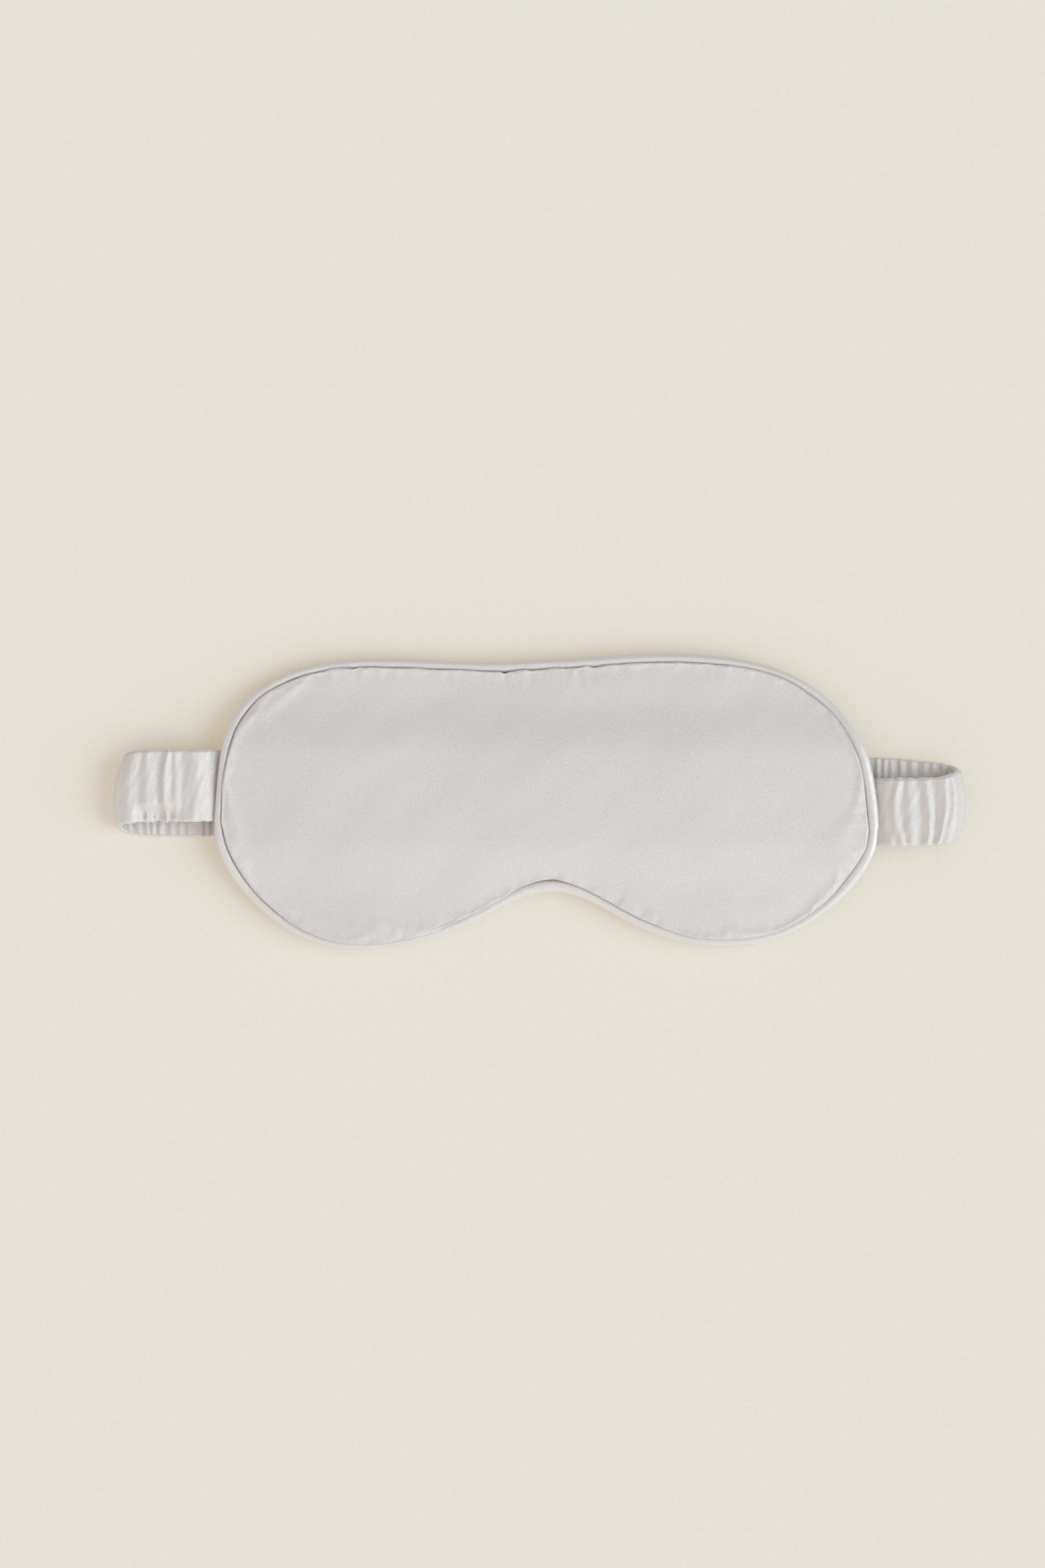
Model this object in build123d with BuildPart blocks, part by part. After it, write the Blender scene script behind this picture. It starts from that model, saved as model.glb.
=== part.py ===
from build123d import *
from collections import namedtuple
import math
import os

# Padded satin sleep mask with a gathered elastic head strap.
# Millimetres. The mask lies flat, face up, on the plane Z = 0.
# +X runs to the right of the pad as it lies, +Y to its brow edge, +Z out of its face.
# The strap leaves the pad at both side seams, turns over and runs back under the pad,
# so it is one flat loop at rest.

# ---------------------------------------------------------------- pad sizes
# (x, y) of the piping's outer edge, evenly spaced along the edge, starting at the left side
# and going over the brow; hand sewn, so slightly uneven from left to right
OUTLINE = [
    (-104.9, -9.5), (-104.6, 0.8), (-103.7, 11.0), (-101.7, 21.0), (-97.1, 30.0), (-89.6, 36.7),
    (-80.6, 41.3), (-70.6, 43.9), (-60.6, 45.1), (-50.3, 45.3), (-40.1, 45.0), (-29.8, 44.6),
    (-19.6, 44.3), (-9.3, 44.6), (0.9, 45.1), (11.1, 45.6), (21.3, 46.3), (31.6, 46.9),
    (41.8, 47.0), (52.1, 46.4), (62.2, 45.0), (72.1, 42.4), (81.5, 38.2), (89.8, 32.0),
    (96.4, 24.2), (101.3, 15.1), (103.7, 5.1), (104.9, -5.0), (103.8, -15.1), (99.0, -24.1),
    (92.2, -31.7), (84.0, -38.0), (74.9, -42.6), (64.9, -45.1), (54.7, -45.7), (44.5, -44.8),
    (34.7, -42.0), (25.4, -37.9), (16.4, -32.8), (6.9, -29.0), (-3.3, -28.9), (-12.8, -32.6),
    (-21.9, -37.4), (-31.3, -41.4), (-41.1, -44.3), (-51.1, -46.1), (-61.3, -46.7), (-71.3, -45.2),
    (-80.8, -41.2), (-89.1, -35.2), (-96.3, -27.9), (-102.0, -19.3),
]
FLANGE_IN = 9.2       # how far the seam allowances reach in from the outer edge

PIPING_R = 1.5        # covered piping, outside radius
CORD_R = 0.95         # filler cord in the piping
PIPING_WALL_R = 1.0   # inside radius of the piping cover
PIPING_Z = 7.5        # height of the piping's centre
PIPING_FLANGE_ROOT = 0.7              # start of the piping's allowance, inwards from its centre
PIPING_FLANGE_T = 0.7
PIPING_FLANGE_DROP = PIPING_R - 0.4   # middle of the allowance, below the piping's centre

FRONT_EDGE = 3.2      # inset of the front panel's seam line
BACK_EDGE = 3.8       # inset of the back panel's seam line
CLOTH = 0.4           # satin with its fused backing
FRONT_Z0, FRONT_Z1 = 6.8, 11.2    # front panel from its seam allowance to its crown
BACK_Z0, BACK_Z1 = 4.4, 2.4       # back panel from its seam allowance down to its lowest point
# (inset from the seam line, fraction of the rise) for the sections of a domed cushion
DOME_STEPS = [(0.0, 0.0), (0.7, 0.34), (2.2, 0.62), (5.5, 0.87), (10.0, 1.0)]
PANEL_HOLLOW_INSET = 0.45         # inset of a panel's hollow from its outside
BACK_HOLE_INSET = 0.5             # extra inset of the hole in the back panel's allowance
CUT_MARGIN = 0.01                 # overshoot of the cuts through the allowances

BLACKOUT_Z0, BLACKOUT_T = 5.7, 0.3
BLACKOUT_INSET = 0.2              # inset from the front panel's seam line
PLY_GAP = 0.05                    # gap between the wadding and the layer next to it
WADDING_INSET = 0.6               # inset of a wadding's dome from its panel's seam line
WADDING_SHIFT = 0.12              # a wadding's dome, moved away from its panel's crown
WADDING_TRIM = 0.4                # level where the dome is cut off, beyond the allowance
PLUG_OVERLAP = 0.05               # how far a wadding's plug reaches into its dome
FRONT_PLUG_INSET = 0.1            # clearance of each plug in its hole, from FLANGE_IN
BACK_PLUG_INSET = 0.6
BACK_RIM_INSET = 0.1              # inset of the back wadding's rim from its seam line

THREAD_R = 0.15
THREAD_LIFT = 0.2                 # thread's centre, beyond the allowance it lies on
NEEDLE_Z = FRONT_Z0 + CLOTH + THREAD_LIFT
BOBBIN_Z = BACK_Z0 - CLOTH - THREAD_LIFT
NEEDLE_INSET = FRONT_EDGE + 1.5
BOBBIN_INSET = BACK_EDGE + 1.2

# ---------------------------------------------------------------- strap sizes
STRAP_W = 22.5        # width of the gathered satin casing
ELASTIC_W = 20.0
STRAP_T = 2.0         # casing with its elastic, lying loose
TAB_T = 1.2           # the same, sewn flat at the side seams
CASING_WALL = 0.25
ELASTIC_GAP = 0.30    # elastic's inset from the casing's outside
TURN_R = 5.05         # outside radius of the strap's turn
PIVOT_Z = TURN_R      # every fold line of the strap is at this height
LINK = 30.0           # side fold line to the outermost point of the turn
STRETCH_AT = 12.0     # distance from the side fold line to where each length stretches
CUT = 0.03            # half the gap between two neighbouring lengths of strap

# the upper layer's slope, as distances from the side fold line to its foot and head
SLOPE_UNDER = (3.4, 9.4)          # on the underside
SLOPE_TOP = (3.0, 8.6)            # on the top side
SLOPE_UNDER_SHIFT = -0.3          # movement of each slope per millimetre of skin
SLOPE_TOP_SHIFT = 0.35

# blank and trim sizes, all reaching past the strap's side view
BLANK_HALF_W = 30
TURN_OVERRUN = 1
FOLD_OVERRUN = 2
TRIM_BOTTOM, TRIM_TOP = -1, 12

# sign is the side's direction along X; turn_x is the outermost point of the turn;
# the y values are the centre of the strap's width at the seam, at the turn and under the pad
Side = namedtuple("Side", "name sign turn_x y_seam y_turn y_under")
LEFT = Side("left", -1, -137.3, 5.2, 3.4, 0.4)
RIGHT = Side("right", 1, 132.2, -3.15, -0.3, 2.8)

TAB_INNER_X = 94.5    # inner end of the strap ends, on both sides
TAB_FOLD_GAP = 0.66   # outer end of the strap ends, from the side fold line
LEFT_TAB_SKEW = 0.3   # sideways drift of the left strap end along its length

# notches in the back wadding round the strap ends
NOTCH_X, NOTCH_LENGTH = 100, 13
NOTCH_SIDE_GAP, NOTCH_FACE_GAP = 0.6, 0.06

LEFT_TACK_X = (-97.7, -96.8, -95.9)
RIGHT_TACK_X = (98.4, 97.5, 96.6)
LEFT_TACK_LENGTH = ELASTIC_W - 2
RIGHT_TACK_LENGTH = ELASTIC_W - 4


# ---------------------------------------------------------------- outline helpers
def inset(distance):
    """The outline moved inwards by a distance."""
    points = []
    for i, (x, y) in enumerate(OUTLINE):
        before_x, before_y = OUTLINE[i - 1]
        after_x, after_y = OUTLINE[(i + 1) % len(OUTLINE)]
        dx, dy = after_x - before_x, after_y - before_y
        size = math.hypot(dx, dy)
        points.append((x + distance * dy / size, y - distance * dx / size))
    return points


def closed_sketch(z, distance):
    """A face at height z with the outline's shape, inset by a distance."""
    with BuildSketch(Plane.XY.offset(z)) as sketch:
        with BuildLine():
            Spline(*inset(distance), periodic=True)
        make_face()
    return sketch.sketch


def pillow(edge, z0, z1):
    """A domed cushion from a flat base at z0 to a crown at z1."""
    with BuildPart() as dome:
        for distance, height in DOME_STEPS:
            add(closed_sketch(z0 + (z1 - z0) * height, edge + distance))
        loft()
    return dome.part


def ring(z, distance, radius):
    """A round cord that follows the outline at height z."""
    with BuildPart() as cord:
        with BuildLine(Plane.XY.offset(z)) as path:
            Spline(*inset(distance), periodic=True)
        with BuildSketch(Plane(origin=path.line @ 0, z_dir=path.line % 0)):
            Circle(radius)
        sweep()
    return cord.part


# ---------------------------------------------------------------- the pad
def make_front_panel():
    """Domed satin cover with its seam allowance turned in."""
    outer = pillow(FRONT_EDGE, FRONT_Z0, FRONT_Z1)
    inner = pillow(FRONT_EDGE + PANEL_HOLLOW_INSET, FRONT_Z0 + CLOTH, FRONT_Z1 - CLOTH)
    with BuildPart() as panel:
        add(outer)
        add(inner, mode=Mode.SUBTRACT)
        extrude(
            closed_sketch(FRONT_Z0, FLANGE_IN), amount=CLOTH + CUT_MARGIN, mode=Mode.SUBTRACT
        )
    return panel.part


def make_front_wadding():
    """Wadding under the front panel; a plug fills the hole in the seam allowances."""
    base = FRONT_Z0 + CLOTH
    dome = pillow(FRONT_EDGE + WADDING_INSET, base - WADDING_SHIFT, FRONT_Z1 - CLOTH - WADDING_SHIFT)
    trim_z = base + WADDING_TRIM
    plug_z = BLACKOUT_Z0 + BLACKOUT_T + PLY_GAP
    with BuildPart() as wadding:
        add(dome)
        with Locations((0, 0, trim_z - 5)):
            Box(300, 150, 10, mode=Mode.SUBTRACT)
        extrude(
            closed_sketch(plug_z, FLANGE_IN + FRONT_PLUG_INSET),
            amount=trim_z + PLUG_OVERLAP - plug_z,
        )
    return wadding.part


def make_piping_cover():
    """Bias strip of satin round the cord, with its allowance reaching into the seam."""
    with BuildPart() as cover:
        with BuildLine(Plane.XY.offset(PIPING_Z)) as path:
            Spline(*inset(PIPING_R), periodic=True)
        along_edge = path.line % 0
        # section seen along the edge: local x points into the pad, local y down
        with BuildSketch(Plane(
            origin=path.line @ 0, x_dir=(along_edge.Y, -along_edge.X, 0), z_dir=along_edge
        )):
            Circle(PIPING_R)
            flange_end = FLANGE_IN - PIPING_R
            with Locations(((PIPING_FLANGE_ROOT + flange_end) / 2, PIPING_FLANGE_DROP)):
                Rectangle(flange_end - PIPING_FLANGE_ROOT, PIPING_FLANGE_T)
            Circle(PIPING_WALL_R, mode=Mode.SUBTRACT)
        sweep()
    return cover.part


def make_blackout():
    """Blackout layer between the two waddings, caught in the seam."""
    with BuildPart() as layer:
        extrude(closed_sketch(BLACKOUT_Z0, FRONT_EDGE + BLACKOUT_INSET), amount=BLACKOUT_T)
    return layer.part


def make_back_panel():
    """Satin cover worn against the eyes, domed downwards."""
    outer = pillow(BACK_EDGE, BACK_Z0, BACK_Z1)
    inner = pillow(BACK_EDGE + PANEL_HOLLOW_INSET, BACK_Z0 - CLOTH, BACK_Z1 + CLOTH)
    with BuildPart() as panel:
        add(outer)
        add(inner, mode=Mode.SUBTRACT)
        extrude(
            closed_sketch(BACK_Z0 - CLOTH - CUT_MARGIN, FLANGE_IN + BACK_HOLE_INSET),
            amount=CLOTH + 2 * CUT_MARGIN,
            mode=Mode.SUBTRACT,
        )
    return panel.part


def make_back_wadding():
    """Wadding over the back panel; its rim is caught in the seam, notched for the strap ends."""
    base = BACK_Z0 - CLOTH
    dome = pillow(BACK_EDGE + WADDING_INSET, base + WADDING_SHIFT, BACK_Z1 + CLOTH + WADDING_SHIFT)
    trim_z = base - WADDING_TRIM
    plug_z = trim_z - PLUG_OVERLAP
    rim_z = BACK_Z0 + PLY_GAP
    top_z = BLACKOUT_Z0 - PLY_GAP
    with BuildPart() as wadding:
        add(dome)
        with Locations((0, 0, trim_z + 5)):
            Box(300, 150, 10, mode=Mode.SUBTRACT)
        extrude(closed_sketch(plug_z, FLANGE_IN + BACK_PLUG_INSET), amount=top_z - plug_z)
        extrude(closed_sketch(rim_z, BACK_EDGE + BACK_RIM_INSET), amount=top_z - rim_z)
        with Locations((-NOTCH_X, LEFT.y_seam, PIVOT_Z), (NOTCH_X, RIGHT.y_seam, PIVOT_Z)):
            Box(
                NOTCH_LENGTH, STRAP_W + 2 * NOTCH_SIDE_GAP, TAB_T + 2 * NOTCH_FACE_GAP,
                mode=Mode.SUBTRACT,
            )
    return wadding.part


def make_tack_stitches(rows_x, y, length):
    """Tacking rows across a strap end, at the needle thread's height."""
    with BuildPart() as stitches:
        with Locations(*[Location((x, y, NEEDLE_Z), (90, 0, 0)) for x in rows_x]):
            Cylinder(THREAD_R, length)
    return stitches.part


# ---------------------------------------------------------------- the strap
def fold_x(side):
    """X of the side fold line."""
    return side.turn_x - side.sign * LINK


def turn_centre_x(side):
    return side.turn_x - side.sign * TURN_R


def quarter_turn(side, up, radius):
    """Three points of half a turn, from its layer (up = 1 or -1) to its outermost point."""
    centre_x = turn_centre_x(side)
    return [
        (centre_x, PIVOT_Z + up * radius),
        (
            centre_x + side.sign * radius * math.sin(math.pi / 4),
            PIVOT_Z + up * radius * math.cos(math.pi / 4),
        ),
        (centre_x + side.sign * radius, PIVOT_Z),
    ]


# In both side views skin is the inset from the casing's outside.
def lower_face(side, skin):
    """Side view of the layer under the pad, from the fold line to its half of the turn."""
    fold = fold_x(side)
    outer = quarter_turn(side, -1, TURN_R - skin)
    inner = quarter_turn(side, -1, TURN_R - STRAP_T + skin)
    with BuildSketch(Plane.XZ) as sketch:
        with BuildLine():
            Line((fold, skin), outer[0])
            ThreePointArc(*outer)
            Line(outer[-1], inner[-1])
            ThreePointArc(*inner[::-1])
            Line(inner[0], (fold, STRAP_T - skin))
            Line((fold, STRAP_T - skin), (fold, skin))
        make_face()
    return sketch.sketch


def upper_face(side, skin):
    """Side view of the layer leaving the pad: flat at the seam, rising, then half the turn."""
    fold = fold_x(side)
    half_t = TAB_T / 2 - skin
    outer = quarter_turn(side, 1, TURN_R - skin)
    inner = quarter_turn(side, 1, TURN_R - STRAP_T + skin)
    under_foot, under_head = [
        fold + side.sign * (reach + SLOPE_UNDER_SHIFT * skin) for reach in SLOPE_UNDER
    ]
    top_foot, top_head = [
        fold + side.sign * (reach + SLOPE_TOP_SHIFT * skin) for reach in SLOPE_TOP
    ]
    with BuildSketch(Plane.XZ) as sketch:
        with BuildLine():
            ThreePointArc(
                (fold, PIVOT_Z + half_t), (fold - side.sign * half_t, PIVOT_Z),
                (fold, PIVOT_Z - half_t),
            )
            Polyline(
                (fold, PIVOT_Z - half_t), (under_foot, PIVOT_Z - half_t),
                (under_head, inner[0][1]), inner[0],
            )
            ThreePointArc(*inner)
            Line(inner[-1], outer[-1])
            ThreePointArc(*outer[::-1])
            Polyline(
                outer[0], (top_head, outer[0][1]),
                (top_foot, PIVOT_Z + half_t), (fold, PIVOT_Z + half_t),
            )
        make_face()
    return sketch.sketch


def plan(stations, half_width):
    """Corners of the strap seen from above, along (x, y) stations of its centre line."""
    lower = [(x, y - half_width) for x, y in stations]
    upper = [(x, y + half_width) for x, y in reversed(stations)]
    return lower + upper


def flat_length(stations, bottom, thickness, half_width, skin):
    """A flat length of strap."""
    with BuildPart() as flat:
        with BuildSketch(Plane.XY.offset(bottom + skin)):
            with BuildLine():
                Polyline(*plan(stations, half_width), close=True)
            make_face()
        extrude(amount=thickness - 2 * skin)
    return flat.part


def shaped_length(face, side, stations, z0, z1, half_width, skin):
    """A side view pushed across the strap, kept only inside its plan between z0 and z1."""
    side_view = face(side, skin)
    with BuildPart() as shaped:
        extrude(side_view, amount=BLANK_HALF_W, both=True)
        with BuildSketch(Plane.XY.offset(z0)):
            with BuildLine():
                Polyline(*plan(stations, half_width), close=True)
            make_face()
        extrude(amount=z1 - z0, mode=Mode.INTERSECT)
    return shaped.part


def casing_and_elastic(name, build, *args):
    """The hollow casing and the elastic inside it, for one length of strap."""
    outside = build(*args, STRAP_W / 2, 0)
    hollow = build(*args, STRAP_W / 2 - CASING_WALL, CASING_WALL)
    elastic = build(*args, ELASTIC_W / 2, ELASTIC_GAP)
    with BuildPart() as casing:
        add(outside)
        add(hollow, mode=Mode.SUBTRACT)
    return {f"casing_{name}": casing.part, f"elastic_{name}": elastic}


def side_lengths(side):
    """Name, side view, plan stations and height range of the four lengths on one side."""
    fold, centre_x = fold_x(side), turn_centre_x(side)
    stretch_x = fold + side.sign * STRETCH_AT
    inner_end = stretch_x - side.sign * CUT
    outer_start = stretch_x + side.sign * CUT
    turn = [(centre_x, side.y_turn), (side.turn_x + side.sign * TURN_OVERRUN, side.y_turn)]
    share = (stretch_x - fold) / (centre_x - fold)
    y_lower = side.y_under + (side.y_turn - side.y_under) * share
    y_upper = side.y_seam + (side.y_turn - side.y_seam) * share
    under = (TRIM_BOTTOM, PIVOT_Z - CUT)
    return [
        ("lower_inner", lower_face,
         [(fold + side.sign * CUT, side.y_under), (inner_end, y_lower)], *under),
        ("lower_outer", lower_face, [(outer_start, y_lower), *turn], *under),
        ("upper_outer", upper_face, [(outer_start, y_upper), *turn], PIVOT_Z + CUT, TRIM_TOP),
        ("upper_inner", upper_face,
         [(fold - side.sign * FOLD_OVERRUN, side.y_seam), (fold, side.y_seam),
          (inner_end, y_upper)], 0, TRIM_TOP),
    ]


# ---------------------------------------------------------------- build the pieces
pieces = {
    "front_panel": make_front_panel(),
    "front_wadding": make_front_wadding(),
    "piping_cord": ring(PIPING_Z, PIPING_R, CORD_R),
    "piping_cover": make_piping_cover(),
    "blackout_interlining": make_blackout(),
    "back_panel": make_back_panel(),
    "back_wadding": make_back_wadding(),
    # lockstitch seam: needle thread over the stack of allowances, bobbin thread under it
    "needle_thread": ring(NEEDLE_Z, NEEDLE_INSET, THREAD_R),
    "bobbin_thread": ring(BOBBIN_Z, BOBBIN_INSET, THREAD_R),
    "left_tack_stitches": make_tack_stitches(LEFT_TACK_X, LEFT.y_seam, LEFT_TACK_LENGTH),
    "right_tack_stitches": make_tack_stitches(RIGHT_TACK_X, RIGHT.y_seam, RIGHT_TACK_LENGTH),
}

# strap ends inside the pad: the casing sewn flat over the end of the elastic
left_tab = [(fold_x(LEFT) + TAB_FOLD_GAP, LEFT.y_seam - LEFT_TAB_SKEW), (-TAB_INNER_X, LEFT.y_seam)]
right_tab = [(TAB_INNER_X, RIGHT.y_seam), (fold_x(RIGHT) - TAB_FOLD_GAP, RIGHT.y_seam)]
for side, stations in ((LEFT, left_tab), (RIGHT, right_tab)):
    pieces |= casing_and_elastic(
        f"end_{side.name}", flat_length, stations, PIVOT_Z - TAB_T / 2, TAB_T
    )
    for name, face, *trim in side_lengths(side):
        pieces |= casing_and_elastic(f"{side.name}_{name}", shaped_length, face, side, *trim)

# the length under the pad, from one side fold line to the other
back_stations = [(fold_x(LEFT) + CUT, LEFT.y_under), (fold_x(RIGHT) - CUT, RIGHT.y_under)]
pieces |= casing_and_elastic("back", flat_length, back_stations, 0, STRAP_T)

os.makedirs("parts", exist_ok=True)
for name, part in pieces.items():
    part.label = name
    export_step(part, f"parts/{name}.step")
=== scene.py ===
"""Satin sleep mask lying face up on a pale table, with its elastic strap turned under it.

The pad's width runs along x, left at -x. Its brow is at +y, its cheeks at -y, and its front panel
faces up, +z. Lengths are in millimetres unless a comment says otherwise; meshes are in metres.
"""
import math
import bpy
import numpy as np
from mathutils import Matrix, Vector, noise


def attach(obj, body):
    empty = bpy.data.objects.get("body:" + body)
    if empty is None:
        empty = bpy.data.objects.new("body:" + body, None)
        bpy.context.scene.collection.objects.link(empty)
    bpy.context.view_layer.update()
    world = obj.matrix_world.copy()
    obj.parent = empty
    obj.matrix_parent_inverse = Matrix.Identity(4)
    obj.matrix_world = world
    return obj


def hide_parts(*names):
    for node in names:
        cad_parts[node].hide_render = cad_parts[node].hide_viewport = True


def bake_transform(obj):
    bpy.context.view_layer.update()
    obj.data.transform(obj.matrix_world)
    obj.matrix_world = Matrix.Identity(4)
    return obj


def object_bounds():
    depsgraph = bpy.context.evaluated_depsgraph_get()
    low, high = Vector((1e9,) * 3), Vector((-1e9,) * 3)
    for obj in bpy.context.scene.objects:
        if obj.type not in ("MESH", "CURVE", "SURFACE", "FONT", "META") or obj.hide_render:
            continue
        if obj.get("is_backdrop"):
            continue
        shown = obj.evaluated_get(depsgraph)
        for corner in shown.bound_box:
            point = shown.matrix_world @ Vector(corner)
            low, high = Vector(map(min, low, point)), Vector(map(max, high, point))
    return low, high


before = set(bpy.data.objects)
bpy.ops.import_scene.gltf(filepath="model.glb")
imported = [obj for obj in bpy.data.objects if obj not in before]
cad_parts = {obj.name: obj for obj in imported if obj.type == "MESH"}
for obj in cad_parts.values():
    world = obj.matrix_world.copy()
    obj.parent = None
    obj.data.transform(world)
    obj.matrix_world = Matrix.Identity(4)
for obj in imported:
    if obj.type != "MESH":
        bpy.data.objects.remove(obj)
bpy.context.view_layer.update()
MM = 0.001
RNG = np.random.RandomState(825)

# ------------------------------------------------------------------ the pad's edge
# x, y of the pad's outer edge, clockwise from above, starting at the far left
OUTLINE = [
    (-104.9, -9.5), (-104.6, 0.8), (-103.7, 11.0), (-101.7, 21.0), (-97.1, 30.0), (-89.6, 36.7),
    (-80.6, 41.3), (-70.6, 43.9), (-60.6, 45.1), (-50.3, 45.3), (-40.1, 45.0), (-29.8, 44.6),
    (-19.6, 44.3), (-9.3, 44.6), (0.9, 45.1), (11.1, 45.6), (21.3, 46.3), (31.6, 46.9),
    (41.8, 47.0), (52.1, 46.4), (62.2, 45.0), (72.1, 42.4), (81.5, 38.2), (89.8, 32.0),
    (96.4, 24.2), (101.3, 15.1), (103.7, 5.1), (104.9, -5.0), (103.8, -15.1), (99.0, -24.1),
    (92.2, -31.7), (84.0, -38.0), (74.9, -42.6), (64.9, -45.1), (54.7, -45.7), (44.5, -44.8),
    (34.7, -42.0), (25.4, -37.9), (16.4, -32.8), (6.9, -29.0), (-3.3, -28.9), (-12.8, -32.6),
    (-21.9, -37.4), (-31.3, -41.4), (-41.1, -44.3), (-51.1, -46.1), (-61.3, -46.7), (-71.3, -45.2),
    (-80.8, -41.2), (-89.1, -35.2), (-96.3, -27.9), (-102.0, -19.3),
]

# where the front panel's folded edge meets the piping: place along OUTLINE's points, inset
CREASE = [
    (0, 2.68), (0.35, 2), (0.6, 2.13), (1, 1.95), (1.4, 1.5), (1.9, 1.92), (2.3, 2.24), (2.7, 2.53),
    (3, 2.55), (3.5, 2.7), (3.9, 2.87), (4.2, 2.74), (4.7, 2.25), (5, 2.18), (5.5, 2.44),
    (5.9, 2.53), (6.4, 2.32), (7, 2.4), (7.25, 1.87), (7.5, 2.07), (7.7, 2.35), (7.95, 2.84),
    (8.15, 2.32), (8.35, 2.63), (8.5, 2.45), (9, 2.7), (9.4, 2.72), (10, 2.5), (10.3, 2.83),
    (11, 2.63), (11.5, 2.48), (11.8, 2.74), (12.2, 2.91), (12.48, 3), (12.6, 3.74), (12.72, 3.21),
    (13.2, 2.55), (13.4, 3.12), (13.8, 2.88), (14.1, 2.54), (14.5, 2.93), (14.95, 2.86),
    (15.1, 2.24), (15.35, 3.2), (15.8, 2.53), (16.2, 2.8), (16.35, 2.55), (17.2, 2.8), (17.4, 2.68),
    (17.8, 2.8), (18, 2.55), (18.4, 2.8), (18.9, 2.6), (19.1, 2.76), (19.6, 2.36), (20.2, 2.19),
    (21, 2.05), (21.4, 2.02), (22, 2.43), (22.3, 2.67), (23, 2.48), (23.5, 2.4), (24, 2.68),
    (24.5, 3), (25.2, 3.03), (25.8, 3.22), (26, 3.35), (26.4, 3.61), (26.8, 3.67), (27.2, 3.42),
    (27.33, 3.12), (27.8, 3.04), (28.2, 3.09), (28.6, 3.36), (29.2, 3.46), (29.6, 3.22), (30, 2.85),
    (30.5, 2.7), (31, 2.58), (31.4, 2.47), (31.8, 2.34), (32.2, 2.2), (32.6, 2.16), (33, 2.2),
    (33.5, 2.23), (34, 2.13), (34.8, 2.26), (35.5, 2.45), (36.2, 2.72), (37, 2.65), (37.5, 2.6),
    (38, 2.48), (38.4, 2.64), (38.8, 2.9), (39.1, 3.3), (39.45, 3.95), (39.8, 3.75), (40.1, 3.39),
    (40.5, 3.1), (40.8, 2.58), (41.2, 2.35), (42, 2.48), (42.6, 2.42), (43.1, 2.04), (43.3, 1.53),
    (44, 1.48), (44.5, 1.82), (44.8, 1.46), (45.1, 1.4), (45.5, 1.85), (45.7, 1.57), (46, 1.78),
    (46.6, 1.91), (47.1, 2), (47.5, 2.21), (48, 2.33), (48.6, 2.53), (49, 2.58), (49.6, 2.61),
    (50, 2.75), (50.4, 2.98), (51, 3.05), (51.5, 2.88),
]

# how open the crease is: place along OUTLINE's points, then 1 for a dark open groove down to
# 0 for the two cloths pressed together
GROOVE = [
    (0, 0.9), (3, 1.0), (7, 0.9), (12, 1.0), (17, 0.85), (19.3, 0.7), (20.5, 0.45), (21.5, 0.65),
    (23, 0.6), (24.5, 0.6), (25.6, 0.75), (26.4, 1.0), (28.5, 0.95), (29.5, 0.7), (30.5, 0.45),
    (32, 0.12), (34, 0.05), (36, 0.3), (37.3, 0.85), (39.6, 1.0), (40.3, 0.7), (41.2, 0.18),
    (43, 0.1), (46.5, 0.05), (47.6, 0.45), (49, 0.75), (51, 1.0), (52, 0.9),
]

HALF_STATIONS = 560              # along the brow, and as many back along the cheeks
STATIONS = 2 * HALF_STATIONS


def periodic_spline(points):
    """A smooth closed curve through the points: a function of chord length, and the points'."""
    knots = np.array(points, float)
    count = len(knots)
    gaps = np.linalg.norm(np.roll(knots, -1, 0) - knots, axis=1)
    starts = np.concatenate([[0.0], np.cumsum(gaps)])
    matrix = np.zeros((count, count))
    right = np.zeros((count, 2))
    for i in range(count):
        following = (i + 1) % count
        matrix[i, (i - 1) % count] += gaps[i - 1]
        matrix[i, i] += 2 * (gaps[i - 1] + gaps[i])
        matrix[i, following] += gaps[i]
        right[i] = 6 * ((knots[following] - knots[i]) / gaps[i]
                        - (knots[i] - knots[i - 1]) / gaps[i - 1])
    bends = np.linalg.solve(matrix, right)

    def curve(s):
        s = np.mod(s, starts[-1])
        i = np.clip(np.searchsorted(starts, s, side="right") - 1, 0, count - 1)
        following = (i + 1) % count
        done = (s - starts[i])[:, None]
        gap = gaps[i][:, None]
        left = gap - done
        bend, next_bend = bends[i], bends[following]
        return (bend * left ** 3 / (6 * gap) + next_bend * done ** 3 / (6 * gap)
                + (knots[i] / gap - bend * gap / 6) * left
                + (knots[following] / gap - next_bend * gap / 6) * done)

    return curve, starts


def bell(reach, sigma):
    """Blur weights for the samples from -reach to reach."""
    weights = np.exp(-0.5 * (np.arange(-reach, reach + 1) / sigma) ** 2)
    return weights / weights.sum()


def smooth_ring(values, sigma):
    """A closed row of numbers, blurred by sigma samples."""
    reach = int(3 * sigma) + 1
    weights = bell(reach, sigma)
    offsets = np.arange(-reach, reach + 1)
    count = len(values)
    return np.array([np.dot(weights, values[(i + offsets) % count]) for i in range(count)])


def smoothstep(t):
    t = np.clip(t, 0, 1)
    return t * t * (3 - 2 * t)


def level_off(t, power):
    """Rises from 0 at t=0, steeply at first, and is level from 1 on."""
    return 1 - (1 - np.clip(t, 0, 1)) ** power


def noise_at(points, seed, scale):
    """Smooth noise at rows of 2-D points."""
    return np.array([noise.noise(Vector((x / scale, y / scale, seed * 7.31))) for x, y in points])


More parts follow.
